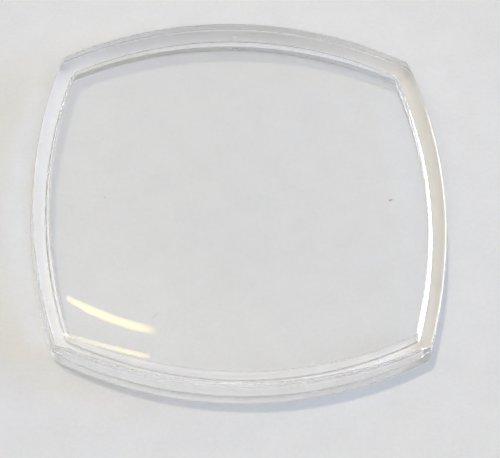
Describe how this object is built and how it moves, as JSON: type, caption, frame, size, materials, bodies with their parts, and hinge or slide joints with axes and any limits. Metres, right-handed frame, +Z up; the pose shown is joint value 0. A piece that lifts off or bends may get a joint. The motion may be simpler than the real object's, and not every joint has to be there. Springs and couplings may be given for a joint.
{
  "type": "watch crystal",
  "caption": "Clear moulded acrylic watch crystal of cushion outline, low domed plate on a flared rim, hollow below.",
  "frame": {"origin": "middle of the box round the part, at its bottom, on the plane of the seat", "axes": "+Z up out of the dial, +Y to 12 o'clock, +X to 3 o'clock"},
  "size_m": [0.0328, 0.0322, 0.0037],
  "materials": {
    "acrylic": "clear, polished, lightly scuffed"
  },
  "bodies": {
    "root": {"crystal": "acrylic"}
  },
  "joints": []
}
